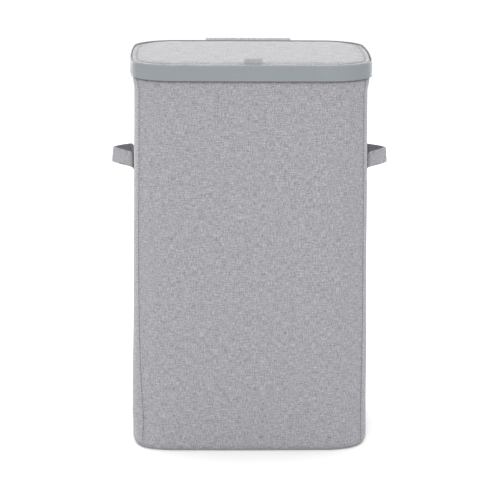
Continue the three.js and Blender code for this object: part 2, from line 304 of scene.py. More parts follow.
def plate_net(rings, extra):
    """A rounded plate as a rectangular net, from rings of (inset, z) that go from its edge to its middle.
    Returns points[row, column] and the ring number of each."""
    depth_cells = 2 * (len(rings) - 1)
    width_cells = depth_cells + extra
    points = np.zeros((depth_cells + 1, width_cells + 1, 3))
    number = np.zeros((depth_cells + 1, width_cells + 1), int)
    fine = np.linspace(0, 1, 161)
    almost = 1 - 1e-9  # the side's end; at 1 the next side starts
    for k, (inset, z) in enumerate(rings):
        low, high_row, high_column = k, depth_cells - k, width_cells - k
        across = np.arange(low, high_column + 1)
        up = np.arange(low, high_row + 1)
        sides = [
            (np.full_like(across, low), across),
            (up, np.full_like(up, high_column)),
            (np.full_like(across, high_row), across[::-1]),
            (up[::-1], np.full_like(up, low)),
        ]
        for side, (rows, columns) in enumerate(sides):
            run = run_lengths(outline(side + np.minimum(fine, almost), inset))
            even = np.linspace(0, run[-1], len(rows))
            u = np.interp(even, run, fine) if run[-1] > 0 else fine[:len(rows)]
            points[rows, columns] = with_z(outline(side + np.minimum(u, almost), inset), z)
            number[rows, columns] = k
    return points, number


def inner_rings(start, spacing, height):
    """Rings from an inset of start to the middle, at about that spacing. height(inset) is their z."""
    count = round((LID_DEPTH / 2 - start) / spacing)
    return [(inset, height(inset)) for inset in np.linspace(start, LID_DEPTH / 2, count + 1)[1:]]


def wavy_plate(rings, seed, size, extra):
    """A plate of cloth whose middle undulates a little inside a border of nine rings."""
    points, number = plate_net(rings, extra)
    wave = undulation(seed, points[..., 0], points[..., 1], size, lean=2)
    points[..., 2] += np.where(number >= 9, wave, 0)
    return points


def stitches(name, rows, material, length=2.6 * MM, pitch=3.8 * MM, radius=0.45 * MM):
    """Rows of stitches. Each row is (points, normals) along its line. A stitch is a low spindle: two
    four-sided rings between two tips that go into the cloth."""
    vertices, faces = [], []
    sides = [(1, 0), (0, 0.8), (-1, 0), (0, -0.8)]
    for points, normals in rows:
        points, normals = np.asarray(points, float), np.asarray(normals, float)
        run = run_lengths(points)
        count = max(1, int(run[-1] / pitch))
        for at in (np.arange(count) + 0.5) * run[-1] / count:
            ends = [read_along(points, run, at + end * length / 2) for end in (-1, 1)]
            middle = read_along(points, run, at)
            normal = read_along(normals, run, at)
            normal /= np.linalg.norm(normal)
            forward = (ends[1] - ends[0]) / max(np.linalg.norm(ends[1] - ends[0]), 1e-9)
            across = np.cross(forward, normal)
            base = len(vertices)
            vertices.append(ends[0] - 0.15 * radius * normal)
            for step in (-0.28, 0.28):
                centre = middle + step * length * forward + 0.35 * radius * normal
                vertices.extend(centre + radius * (a * across + b * normal) for a, b in sides)
            vertices.append(ends[1] - 0.15 * radius * normal)
            for i in range(4):
                j = (i + 1) % 4
                faces.append((base, base + 1 + i, base + 1 + j))
                faces.append((base + 1 + i, base + 5 + i, base + 5 + j, base + 1 + j))
                faces.append((base + 9, base + 5 + j, base + 5 + i))
    vertices = np.array(vertices)
    corner = np.concatenate([vertices[list(f)][:, [0, 2]] for f in faces])
    return piece(name, vertices, faces, corner, [material], angle=0)


def row_at(s, inset, z, inwards):
    """A line at (s, inset, z), and its directions towards the same line that much further in."""
    points = with_z(outline(s, inset), z)
    return points, with_z(outline(s, inset + inwards), z) - points


def ring_row(inset, z, up=False):
    """A line round the outline, with directions that point outwards, or up."""
    points, outwards = row_at(np.linspace(0, 4, 600), inset, z, -1 * MM)
    return points, (joined(0 * points[:, 0], 0, 1) if up else outwards)


# ------------------------ materials

def add(tree, kind, inputs=None, **settings):
    node = tree.nodes.new("ShaderNode" + kind)
    for key, value in settings.items():
        setattr(node, key, value)
    for key, value in (inputs or {}).items():
        if isinstance(value, bpy.types.NodeSocket):
            tree.links.new(value, node.inputs[key])
        else:
            node.inputs[key].default_value = value
    return node


def calc(tree, operation, a, b=0.0):
    return add(tree, "Math", {0: a, 1: b}, operation=operation).outputs[0]


def blend_value(tree, factor, a, b):
    return add(tree, "Mix", {0: factor, 2: a, 3: b}, data_type="FLOAT").outputs[0]


def blend_colour(tree, factor, a, b, kind="MIX"):
    return add(tree, "Mix", {0: factor, 6: a, 7: b}, data_type="RGBA", blend_type=kind).outputs[2]


def noise(tree, place, size, detail=2.0):
    """Noise with features of about that size in metres, (x, y) or (x, y, z)."""
    scale = tuple(1 / value for value in size) + (1.0,) * (3 - len(size))
    spot = add(tree, "Mapping", {"Vector": place, "Scale": scale}).outputs[0]
    settings = {"Vector": spot, "Scale": 1.0, "Detail": detail, "Roughness": 0.55}
    return add(tree, "TexNoise", settings).outputs[0]


def shares(tree, a, b, share):
    """A share of a and the rest of b."""
    return calc(tree, "ADD", calc(tree, "MULTIPLY", a, share), calc(tree, "MULTIPLY", b, 1 - share))


def ribs(tree, distance, pitch):
    """Round ribs across a distance, one to a pitch."""
    return calc(tree, "ABSOLUTE", calc(tree, "SINE", calc(tree, "MULTIPLY", distance, math.pi / pitch)))


def remap(tree, value, low, high, to_low=0.0, to_high=1.0):
    return add(tree, "MapRange", {0: value, 1: low, 2: high, 3: to_low, 4: to_high}).outputs[0]


def rgba(colour):
    return (*colour, 1.0)


def start_material(name, specular, sheen=(0.0, 0.5)):
    """A material with its tree and shader. The sheen is its weight and its roughness."""
    material = bpy.data.materials.new(name)
    material.use_nodes = True
    tree = material.node_tree
    shader = tree.nodes["Principled BSDF"]
    for key, value in zip(("Specular IOR Level", "Sheen Weight", "Sheen Roughness"), (specular, *sheen)):
        shader.inputs[key].default_value = value
    return material, tree, shader


def finish_material(tree, shader, colour, roughness, height, depth, strength):
    bump = add(tree, "Bump", {"Height": height, "Distance": depth, "Strength": strength}).outputs[0]
    tree.links.new(colour, shader.inputs["Base Color"])
    tree.links.new(roughness, shader.inputs["Roughness"])
    tree.links.new(bump, shader.inputs["Normal"])


def woven(name, dark, light, pitch=1.0 * MM, slub=8 * MM, fleck=(2.6 * MM, 2.6 * MM), contrast=0.16,
          depth=0.25 * MM, cloud=(60 * MM, 90 * MM), clouding=0.025):
    """Melange cloth in a plain weave: each thread has its own light and dark stretches of about the
    slub length, the flecks cross the threads, and the clouds are wider and fainter."""
    material, tree, shader = start_material(name, 0.25, (0.1, 0.5))
    place = add(tree, "UVMap", uv_map="weave").outputs[0]
    weft = noise(tree, place, (slub, 1.3 * pitch))
    warp = noise(tree, place, (1.3 * pitch, 0.75 * slub))
    spots = noise(tree, place, fleck, 3.0)
    cells = add(tree, "Mapping", {"Vector": place, "Scale": (1 / pitch, 1 / pitch, 1)}).outputs[0]
    over = add(tree, "TexChecker", {"Vector": cells, "Scale": 1.0}).outputs[1]
    apart = add(tree, "SeparateXYZ", {0: cells})
    upright, level = (ribs(tree, apart.outputs[i], 1) for i in (0, 1))
    crown = blend_value(tree, over, level, upright)
    thread = blend_value(tree, over, weft, warp)
    tone = shares(tree, thread, spots, 0.55)
    colour = blend_colour(tree, remap(tree, tone, 0.5 - contrast, 0.5 + contrast), rgba(dark), rgba(light))
    # Painted shade: the colour is darkened down to 0.8 in the low gaps between the threads. The clouds lift
    # or lower it a little at random.
    wide = remap(tree, noise(tree, place, cloud, 1.0), 0.3, 0.7, 1 - clouding, 1 + clouding)
    shade = calc(tree, "MULTIPLY", remap(tree, crown, 0.0, 0.7, 0.8, 1.0), wide)
    shade = add(tree, "CombineColor", {0: shade, 1: shade, 2: shade}).outputs[0]
    colour = blend_colour(tree, 1.0, colour, shade, "MULTIPLY")
    height = calc(tree, "ADD", crown, calc(tree, "MULTIPLY", tone, 1.2))
    finish_material(tree, shader, colour, remap(tree, tone, 0.3, 0.7, 0.98, 0.86), height, depth, 0.8)
    return material


def ribbed(name, dark, light, pitch=1.5 * MM, depth=0.3 * MM, slant=4 * MM, yarn=(0.5 * MM, 0.5 * MM),
           sheen=(0.15, 0.5), specular=0.3, roughness=(0.95, 0.8)):
    """Dense webbing or tape. Its ribs slant to and fro over the slant length, or stand upright if it is 0."""
    material, tree, shader = start_material(name, specular, sheen)
    place = add(tree, "UVMap", uv_map="weave").outputs[0]
    apart = add(tree, "SeparateXYZ", {0: place})
    across = apart.outputs[0]
    if slant:
        across = calc(tree, "ADD", across, calc(tree, "PINGPONG", apart.outputs[1], slant))
    tone = shares(tree, ribs(tree, across, pitch), noise(tree, place, yarn), 0.6)
    colour = blend_colour(tree, tone, rgba(dark), rgba(light))
    finish_material(tree, shader, colour, remap(tree, tone, 0, 1, *roughness), tone, depth, 0.8)
    return material


def moulded(name, colour, roughness, grain=0.7 * MM, depth=0.02 * MM, mottling=0.03, specular=0.5):
    """Moulded plastic or a painted skin: fine grain, slight mottling and uneven gloss."""
    material, tree, shader = start_material(name, specular)
    place = add(tree, "TexCoord").outputs["Object"]
    fine = noise(tree, place, (grain,) * 3)
    wide = noise(tree, place, (45 * MM,) * 3)
    scuff = noise(tree, place, (30 * MM, 30 * MM, 4 * MM), 3.0)
    low = tuple(value * (1 - mottling) for value in colour)
    high = tuple(min(1, value * (1 + mottling)) for value in colour)
    tint = blend_colour(tree, remap(tree, wide, 0.3, 0.7), rgba(low), rgba(high))
    gloss = remap(tree, scuff, 0.3, 0.7, roughness - 0.05, roughness + 0.06)
    finish_material(tree, shader, tint, gloss, fine, depth, 0.6)
    return material


def fibrous(name, dark, light, size, depth):
    """Pressed fibre: tangled flecks."""
    material, tree, shader = start_material(name, 0.2)
    place = add(tree, "TexCoord").outputs["Object"]
    coarse = noise(tree, place, size, 4.0)
    tone = remap(tree, coarse, 0.3, 0.7)
    colour = blend_colour(tree, tone, rgba(dark), rgba(light))
    finish_material(tree, shader, colour, remap(tree, tone, 0, 1, 0.98, 0.85), coarse, depth, 0.7)
    return material


BODY = woven("body_heather", (0.16, 0.157, 0.169), (0.44, 0.433, 0.46), pitch=1.35 * MM, slub=13 * MM,
             fleck=(2.8 * MM, 1.1 * MM), contrast=0.125, cloud=(34 * MM, 20 * MM), clouding=0.02)
LID_CLOTH = woven("lid_heather", (0.24, 0.238, 0.248), (0.46, 0.457, 0.471), fleck=(3.4 * MM, 3.4 * MM),
                  contrast=0.13, cloud=(24 * MM, 10 * MM), clouding=0.11)
# The body's heather made lighter for the hinge strap's inner side, which shows above the lid: painted light,
# since the strap is the body's own cloth.
STRAP_PAINTED_LIGHT = woven("strap_heather_painted_light", (0.46, 0.457, 0.465), (0.74, 0.736, 0.746), contrast=0.1)
LINING = woven("lining_cloth", (0.24, 0.236, 0.25), (0.34, 0.335, 0.352), pitch=0.7 * MM, slub=5 * MM,
               contrast=0.22, depth=0.12 * MM)
WEBBING = ribbed("webbing", (0.13, 0.125, 0.137), (0.34, 0.33, 0.355))
TAPE = ribbed("woven_tape", (0.10, 0.10, 0.105), (0.50, 0.50, 0.515), pitch=2.1 * MM, slant=0,
              yarn=(0.6 * MM, 0.35 * MM), sheen=(0.1, 0.4), specular=0.2, roughness=(0.9, 0.65))
THREAD = ribbed("thread", (0.2, 0.198, 0.21), (0.36, 0.355, 0.37), pitch=0.4 * MM, depth=0.1 * MM)
DARK_THREAD = ribbed("dark_thread", (0.08, 0.079, 0.084), (0.16, 0.158, 0.166), pitch=0.4 * MM,
                     depth=0.1 * MM)
RIM_PLASTIC = moulded("rim_plastic", (0.213, 0.23, 0.246), 0.55, specular=0.15)
DARK_PLASTIC = moulded("dark_plastic", (0.035, 0.034, 0.037), 0.45)
ROD_COAT = moulded("rod_coating", (0.68, 0.68, 0.67), 0.35, grain=0.9 * MM, depth=0.03 * MM)
FIBREBOARD = fibrous("fibreboard", (0.26, 0.19, 0.115), (0.42, 0.32, 0.21),
                     (2 * MM, 0.6 * MM, 0.6 * MM), 0.1 * MM)


# ------------------------ tub

# Distances from a seam, and how far the cloth stands out there: the front and back panels carry the turned
# edges, and the side panels go under them
SEAM_STEPS = np.array([0, 0.5, 1, 1.6, 2.4, 3.4, 4.6, 6, 8, 11]) * MM
SEAM_FACE = {
    0: np.array([-1.6, -0.7, 0.2, 0.85, 1.25, 1.2, 0.75, 0.35, 0.1, 0]) * MM,
    1: np.array([-1.6, -1.3, -0.95, -0.6, -0.3, -0.05, 0.05, 0.03, 0, 0]) * MM,
}
SIDE_STITCH = 2.3 * MM
LEVELS = np.concatenate([
    [WALL_BOTTOM], np.array([3.4, 4.4, 5.8, 7.4, 9.2, 11, 14, 18, 23]) * MM,
    np.linspace(30 * MM, 628 * MM, 82),
    np.array([633, 637, 640.5, 643, 644.8, 646.2, 647.6, 649.5, 654]) * MM, [WALL_TOP]])
# Soft folds in the front panel: start and end as (distance from the middle, height), width and height
FRONT_CREASES = [
    ((-0.186, 0.642), (-0.160, 0.582), 4 * MM, 2.4 * MM),
    ((0.165, 0.640), (0.178, 0.570), 5 * MM, 0.5 * MM),
    ((-0.178, 0.040), (-0.150, 0.130), 6 * MM, 0.6 * MM),
    ((0.178, 0.045), (0.160, 0.150), 6 * MM, 0.5 * MM),
]


def seam_turn(corner, z):
    """How far past the middle of the corner a seam lies, on the outline's scale. Towards the floor the
    seams come back to the middle, the front right one least."""
    back = 0.035 if corner % 4 == 1 else 0.097
    return 0.1 - back * np.exp(-(z / 0.16) ** 1.5)


def panel_edges(side, z):
    """Where a panel's two seams run, as distances round the outline."""
    way = 1 if side % 2 == 0 else -1
    return arc_of(side - way * seam_turn(side, z)), arc_of(side + 1 + way * seam_turn(side + 1, z))


def panel_relief(side, arcs, z, edge):
    """How far the panel's face stands out of its plain shape."""
    across = arcs - arc_of(side + 0.5)
    lift = np.interp(edge, SEAM_STEPS, SEAM_FACE[side % 2])
    calm = smooth(edge / 0.05) * smooth((z - 8 * MM) / 0.06) * smooth((WALL_TOP - z) / 0.06)
    if side % 2:  # flat round the slot plates
        near = np.hypot(np.abs(across) - HANDLE_HALF_SPAN, (z - SLOT_Z) * 0.6)
        calm = calm * smooth((near - 10 * MM) / 0.05)
    lift = lift + swell(z) + calm * undulation(11 + side, across, z, 0.45 * MM)
    if side == 0:
        for fold in FRONT_CREASES:
            lift = lift + crease(across, z, *fold)
    if side == 3:  # drawn in at the middle of its foot
        low = smooth((50 * MM - z) / (45 * MM)) * np.exp(-(across / 0.09) ** 2)
        lift = lift - 3.2 * MM * low
    return lift


def add_panel(name, side):
    """One wall, with more points beside its seams than in its middle."""
    z = LEVELS[:, None]
    first, last = panel_edges(side, z)
    count = int((last - first).max() / (4.5 * MM))
    inner = np.linspace(0, 1, count + 1)[1:-1]
    low, high = first + SEAM_STEPS[-1], last - SEAM_STEPS[-1]
    arcs = np.hstack([first + SEAM_STEPS, low + (high - low) * inner, last - SEAM_STEPS[::-1]])
    edge = np.minimum(arcs - first, last - arcs)
    inset = wall_inset(z) - panel_relief(side, arcs, z, edge)
    points = spread(with_z(outline(s_of(arcs), inset), z))
    wall = grid_piece(name, points, joined(arcs, z), [BODY, LINING])
    thicken(wall, WALL, back_material=1)
    return wall


for side, (name, node) in enumerate([
        ("front_cloth", "front_panel"), ("right_cloth", "right_panel"),
        ("back_cloth", "back_panel"), ("left_cloth", "left_panel")]):
    wall = add_panel(name, side)
    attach(wall, "hamper")
    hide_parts(node)

seam_rows = []
seam_levels = np.linspace(14 * MM, 645 * MM, 240)
seam_inset = wall_inset(seam_levels) - swell(seam_levels) + 0.25 * MM
for side in (1, 3):
    first, last = panel_edges(side, seam_levels)
    for arc in (first + SIDE_STITCH, last - SIDE_STITCH):
        points, outwards = row_at(s_of(arc), seam_inset, seam_levels, -1 * MM)
        seam_rows.append((spread(points), outwards))
wall_thread = stitches("seam_stitches", seam_rows, DARK_THREAD,
                       length=3.4 * MM, pitch=5.2 * MM, radius=0.6 * MM)
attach(wall_thread, "hamper")


# The hem is one folded strip, from its outer edge over the hoop to its inner edge
HEM_SECTION = in_metres([
    (-0.05, 650.7), (-0.45, 651.1), (-0.62, 652.0), (-0.5, 653.2), (-0.62, 654.6), (-0.62, 657),
    (-0.6, 659.4), (-0.1, 660.6), (1.2, 661.2), (3.6, 661.4), (6, 661.15), (7.3, 660.3), (7.75, 658.6),
    (7.85, 655), (7.8, 650), (7.85, 645), (7.7, 643.4), (7.8, 642), (7.7, 641), (7.4, 640.5)],
    wall_inset(HEM_Z))
hem = sweep_ring("hem", HEM_SECTION, [BODY], spacing=5 * MM, closed=False, angle=60)
ripple = np.array([v.co for v in hem.data.vertices])
turn = np.arctan2(ripple[:, 1], ripple[:, 0])
inner_side = ripple[:, 2] < HEM_Z
ripple[:, 2] += np.where(inner_side, 0.35 * MM, 0.1 * MM) * (np.sin(23 * turn) + np.sin(41 * turn + 1))
hem.data.vertices.foreach_set("co", ripple.reshape(-1))
thicken(hem, 0.5 * MM)
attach(hem, "hamper")
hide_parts("hem_binding", "hem_facing")
outer_row = ring_row(wall_inset(HEM_Z) - 0.5 * MM, 653.2 * MM)
inside, inside_normals = ring_row(wall_inset(HEM_Z) + 7.7 * MM, 643.4 * MM)
hem_thread = stitches("hem_stitches", [outer_row, (inside, -inside_normals)], THREAD)
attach(hem_thread, "hamper")


def add_channel(name, corner):
    """A strip sewn inside the corner, over its rod."""
    z = np.linspace(26 * MM, 618 * MM, 110)[:, None]
    half = np.array([1.5, 3, 4.6, 6.2, 7.8, 9.2, 10.6, 12]) * MM
    across = np.concatenate([-half[::-1], [0], half])
    tunnel = 9.4 * MM
    bulge = np.clip(1 - np.abs(across) / tunnel, 0, 1)
    height = 0.5 * MM + 9.3 * MM * np.sin(bulge * np.pi / 2) ** 1.6
    wave = undulation(31 + corner, z, across * 3, 0.25 * MM, longest=0.09, shortest=0.03)
    wave = wave * (0.6 + 0.5 * smooth((np.abs(across) - tunnel) / (3 * MM)))
    inset = wall_inset(z) + WALL + height + wave
    points = with_z(outline(corner - across / CORNER_RUN, inset), z)
    strip = grid_piece(name, points, joined(across * 1.6, z), [LINING])
    thicken(strip, 0.5 * MM, outwards=True)
    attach(strip, "hamper")
    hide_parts(name.replace("sleeve", "channel"))
    levels = np.linspace(30 * MM, 614 * MM, 160)
    inset = wall_inset(levels) + WALL + 1.1 * MM
    return [row_at(corner - edge / CORNER_RUN, inset, levels, 1 * MM) for edge in (-10.8 * MM, 10.8 * MM)]


channel_rows = []
for corner, name in enumerate(["front_left", "front_right", "back_right", "back_left"]):
    channel_rows += add_channel(f"rod_sleeve_{name}", corner)
channel_thread = stitches("sleeve_stitches", channel_rows, THREAD, pitch=4.4 * MM)
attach(channel_thread, "hamper")


def add_base():
    """The cloth under the tub, and the padded insert over it."""
    edge = wall_inset(WALL_BOTTOM)
    rings = in_metres([(-0.2, 2.9), (0.1, 1.5), (0.8, 0.5), (2.4, 0.05), (5, 0)], edge)
    rings += inner_rings(edge + 5 * MM, 7 * MM, lambda inset: 0.0)
    points, _ = plate_net(rings, extra=12)
    under = grid_piece("base_cloth", spread(points), points[..., :2], [LINING], angle=60)
    thicken(under, 0.9 * MM, outwards=True)
    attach(under, "hamper")
    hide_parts("base_panel")

    edge = 7.8 * MM
    rings = in_metres([(0.6, 2.8), (0, 3.4), (0, 4.6), (0.5, 5.3), (1.6, 5.6), (4, 5.7), (6.2, 5.6),
                       (7, 5.35), (7.8, 5.6), (10, 5.7)], edge)
    rings += inner_rings(edge + 10 * MM, 7 * MM, lambda inset: 5.55 * MM)
    points = wavy_plate(rings, 51, 0.12 * MM, extra=12)
    insert = grid_piece("base_insert", points, points[..., :2], [LINING], angle=60)
    thicken(insert, 0.6 * MM)
    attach(insert, "hamper")
    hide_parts("base_board")
    thread = stitches("base_stitches", [ring_row(edge + 7 * MM, 5.45 * MM, up=True)], THREAD)
    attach(thread, "hamper")


add_base()


# ------------------------ lid

def add_rim():
    """The lid's frame: its skirt, rolled top edge and inner wall, and the ledge under the board."""
    foot = 648.5
    skirt = [(2.9, 0.1), (1.0, 0), (0.35, 0.2), (0.05, 0.7), (0, 1.3), (0.05, 1.9), (0.3, 2.3), (0.45, 2.6),
             (0.47, 4), (0.42, 10), (0.42, 18)]
    section = [(inset, foot + up) for inset, up in skirt]
    section += [
        (0.45, 671.6), (0.55, 672.5), (0.85, 673.4), (1.3, 674.1), (1.8, 674.6), (2.3, 674.9), (2.65, 674.95),
        (2.9, 674.75), (3.0, 674.3), (3.0, 665.2), (3.3, 664.6), (4, 664.5), (12.6, 664.5), (13, 664.2),
        (13, 662.1), (12.6, 661.7), (3.9, 661.7), (3.2, 661.5), (3.0, 660.9), (3.0, foot + 0.5)]
    rim = sweep_ring("lid_rim", in_metres(section), [RIM_PLASTIC], spacing=3 * MM, angle=35)
    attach(rim, "lid")
    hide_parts("lid_frame")


add_rim()

TAB_X = 15 * MM  # half the tab's width
TAB_SHIFT = 1.8 * MM  # how far right of the middle the photo shows it
GROOVE = 12.6 * MM  # the inset of the cushion's sewn groove
CLOTH_FRAMES = 20
CLOTH_SETTINGS = {
    "quality": 6, "mass": 0.25, "tension_stiffness": 8, "compression_stiffness": 8, "shear_stiffness": 3,
    "bending_stiffness": 0.3, "vertex_group_mass": "pin", "use_pressure": True,
    "uniform_pressure_force": 1.2, "shrink_min": -0.012}


def lid_height(inset):
    """The cushion's height inside its groove, before its cloth is settled."""
    rise = smooth((inset - 14 * MM) / 0.11) ** 0.75
    return 676.0 * MM + 1.6 * MM * rise


def simulate_cover(obj, pinned):
    """Settles the cushion's cloth under a light pressure, and returns where its points come to lie."""
    group = obj.vertex_groups.new(name="pin")
    group.add([int(i) for i in np.flatnonzero(pinned)], 1.0, "REPLACE")
    cloth = obj.modifiers.new("Cloth", "CLOTH")
    for key, value in CLOTH_SETTINGS.items():
        setattr(cloth.settings, key, value)
    cloth.settings.effector_weights.gravity = 0
    cloth.collision_settings.use_collision = False
    for frame_number in range(1, CLOTH_FRAMES + 1):
        SCENE.frame_set(frame_number)
    graph = bpy.context.evaluated_depsgraph_get()
    baked = obj.evaluated_get(graph).to_mesh()
    moved = np.zeros(len(baked.vertices) * 3)
    baked.vertices.foreach_get("co", moved)
    obj.modifiers.clear()
    obj.vertex_groups.clear()
    SCENE.frame_set(1)
    return moved.reshape(-1, 3)


def add_cover():
    """The stuffed cushion, from its edge inside the frame over the sewn groove to its soft middle."""
    rings = in_metres([
        (4.2, 666), (3.5, 670), (3.5, 672), (3.9, 673.3), (4.9, 674.2), (6.6, 674.7), (8.8, 674.9),
        (10.4, 674.75), (11.1, 674.0), (11.7, 673.4), (13.4, 673.4), (13.9, 674.0), (14.5, 675.0),
        (15.8, 675.6), (18.5, 675.85), (22.5, 676.0)])
    rings += inner_rings(22.5 * MM, 4 * MM, lid_height)
    points, number = plate_net(rings, extra=20)
    ring = number.reshape(-1)
    flat = points.reshape(-1, 3)
    cover = grid_piece("lid_cushion", points, points[..., :2], [LID_CLOTH], angle=0)
    in_frame, in_groove = ring <= 3, (ring >= 8) & (ring <= 11)
    moved = simulate_cover(cover, in_frame | in_groove) - flat
    moved[:, :2] = np.clip(moved[:, :2], -1 * MM, 1 * MM)
    moved[:, 2] = np.clip(moved[:, 2], -0.6 * MM, 1.6 * MM)
    flat = flat + moved
    x, y = flat[:, 0], flat[:, 1]
    insets = np.array([inset for inset, _ in rings])[ring]
    border = 1 - smooth((insets - 16 * MM) / 0.05)
    upper = ring > 2
    front_rise, back_drop, sideways = 1.0 * MM, 2.3 * MM, 0.35 * MM
    flat[:, 2] += front_rise * smooth((-y - 0.06) / 0.09) * upper
    flat[:, 2] -= back_drop * smooth((y - 0.02) / 0.12) * border * upper
    flat[:, 0] -= sideways * (ring < 9)
    # Three puckers run out from each end of the tab
    for end in (-1, 1):
        for reach, slope in ((14, 0.1), (11, 0.9), (9, -0.7)):
            tip = (TAB_SHIFT + end * TAB_X, -LID_DEPTH / 2 + GROOVE + 0.5 * MM)
            far = (tip[0] + end * reach * MM, tip[1] + slope * reach * MM)
            flat[:, 2] -= crease(x, y, tip, far, 1.4 * MM, 0.9 * MM)
    cover.data.vertices.foreach_set("co", flat.reshape(-1))
    cover.data.update()
    finer = cover.modifiers.new("smooth", "SUBSURF")
    finer.levels = finer.render_levels = 1
    settle(cover)
    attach(cover, "lid")
    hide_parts("lid_cover", "lid_foam")
    thread = stitches("lid_stitches", [ring_row(GROOVE, 674.1 * MM, up=True)], THREAD, radius=0.35 * MM)
    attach(thread, "lid")


add_cover()


def add_underside():
    """The lining under the lid's board, with its own row of stitches."""
    edge = 13.4 * MM
    rings = in_metres([(0.3, 664.6), (0, 664.0), (0.3, 663.3), (1.4, 662.95), (3.5, 662.9), (5, 663.05),
                       (5.8, 663.3), (6.6, 663.05), (9, 662.8)], edge)
    rings += inner_rings(edge + 9 * MM, 6 * MM,
                         lambda inset: 662.8 * MM - 0.5 * MM * smooth((inset - 22 * MM) / 0.1))
    points = wavy_plate(rings, 52, 0.15 * MM, extra=14)
    lining = grid_piece("lid_underside", points[:, ::-1], points[:, ::-1, :2], [LINING], angle=60)
    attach(lining, "lid")
    thicken(lining, 0.6 * MM)
    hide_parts("lid_lining")
    row, normals = ring_row(edge + 5.8 * MM, 663.25 * MM, up=True)
    thread = stitches("underside_stitches", [(row, -normals)], THREAD)
    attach(thread, "lid")


add_underside()


def add_tab():
    """A tape folded into a low loop, its two ends sewn down in the lid's seam."""
    low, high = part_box("pull_tab")
    foot, top, y = low.z, high.z, (low.y + high.y) / 2
    half = [(-1.15, -1.4), (-0.95, 0.6), (-0.72, 3), (-0.7, 5.5), (-0.78, 7.6), (-0.72, 9.0), (-0.45, 9.9)]
    path = relax(resample(np.array(mirrored(half, (0, 10.3))) * MM, 41), 3)
    path[:, 1] *= (top - foot - 1.2 * MM) / path[:, 1].max()
    x = np.linspace(-TAB_X, TAB_X, 25)
    raised = np.clip(path[:, 1] / path[:, 1].max(), 0, 1)
    lean = 0.5 * MM * np.sin(x / TAB_X * 2.2 + 0.4)[None, :] * raised[:, None]
    rise = 0.25 * MM * np.cos(x / TAB_X * 1.4)[None, :] * raised[:, None]
    points = joined(TAB_SHIFT + x[None, :], y + path[:, :1] + lean, foot + 0.8 * MM + path[:, 1:] + rise)
    uv = joined(x[None, :], run_lengths(path)[:, None])
    tab = grid_piece("tab_loop", points, uv, [TAPE], angle=60)
    thicken(tab, 0.7 * MM, round_edges=0.15 * MM)
    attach(tab, "tab")
    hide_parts("pull_tab")
    xs = TAB_SHIFT + np.linspace(-TAB_X + 1.6 * MM, TAB_X - 1.6 * MM, 40)
    rows = [(joined(xs, y + face * 1.05 * MM, foot + 2.6 * MM), joined(0 * xs, face, 0)) for face in (-1, 1)]
    thread = stitches("tab_stitches", rows, THREAD, length=1.9 * MM, pitch=2.7 * MM, radius=0.3 * MM)
    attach(thread, "tab")


add_tab()


# ------------------------ hinge strap

def back_s(x):
    """The place on the outline of a point of the straight back."""
    return 2.5 - x * 0.5 / (LID_WIDTH - 2 * CORNER_RADIUS)


def add_hinge_strap():
    """One strip over the hinge line, sewn to the frame's back above it and to the back panel below."""
    low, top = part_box("hinge_strap_body")[0].z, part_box("hinge_strap_lid")[1].z
    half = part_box("hinge_strap_lid")[1].x
    margin = 5 * MM
    z = np.concatenate([np.linspace(low, 638 * MM, 16), np.linspace(639.5 * MM, 652 * MM, 16),
                        np.linspace(654 * MM, top, 12)])
    x = np.linspace(-half, half, 48)
    on_lid = smooth((z - 640 * MM) / (7.5 * MM))
    face = (1 - on_lid) * (wall_inset(z) - 1.6 * MM) + on_lid * (-1.7 * MM)

    def stitch_dent(from_edge):
        return 0.18 * MM * np.exp(-((from_edge - margin) / (1 * MM)) ** 2)

    dip = (stitch_dent(np.minimum(z - low, top - z))[:, None]
           + stitch_dent(np.minimum(x + half, half - x))[None, :])
    wave = undulation(61, x[None, :], z[:, None], 0.22 * MM, longest=0.09, shortest=0.04)
    free = smooth((z - 632 * MM) / 0.01) * smooth((655 * MM - z) / 0.008)
    inset = face[:, None] + dip - np.abs(wave) * (0.35 + free[:, None])
    points = with_z(outline(back_s(x)[None, :], inset), z[:, None])
    uv = joined(x[None, :], z[:, None])
    # The outer face takes the body's heather. The inner side, which faces the front above the lid, takes its
    # lighter copy as painted light.
    strap = grid_piece("hinge_strap", points[:, ::-1], uv[:, ::-1], [BODY, STRAP_PAINTED_LIGHT], angle=60)
    thicken(strap, 1.2 * MM, back_material=1, round_edges=0.35 * MM)

    def stitch_row(s, levels):
        return row_at(s, np.interp(levels, z, face) + 0.1 * MM, levels, -1.1 * MM)

    # A rectangle of stitches on the back panel and one on the lid
    across = back_s(np.linspace(-half + 4.5 * MM, half - 4.5 * MM, 60))
    bands = [(low + margin, low + 30 * MM), (653.5 * MM, top - margin)]
    rows = [stitch_row(across, level) for band in bands for level in band]
    rows += [stitch_row(back_s(end * (half - margin)), np.linspace(*band, 20))
             for end in (-1, 1) for band in bands]
    thread = stitches("strap_stitches", rows, THREAD)
    for obj in (strap, thread):
        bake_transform(obj)
    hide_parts("hinge_strap_body", "hinge_strap_lid")


add_hinge_strap()


# ------------------------ handles

# The straps as in the photo: they lean out below, rise over their slots and spread beside them
STRAP_LEAN = 0.096
STRAP_RISE = 1 * MM
STRAP_SPREAD = 0.08
STRAP_STATIONS = 121
STRAP_STITCH = 9.2


def bend(start, towards, end):
    """A curve from start to end that is drawn towards a third point."""
    start, towards, end = (np.array(spot) for spot in (start, towards, end))
    t = np.linspace(0, 1, 40)[:, None]
    return (1 - t) ** 2 * start + 2 * t * (1 - t) * towards + t ** 2 * end


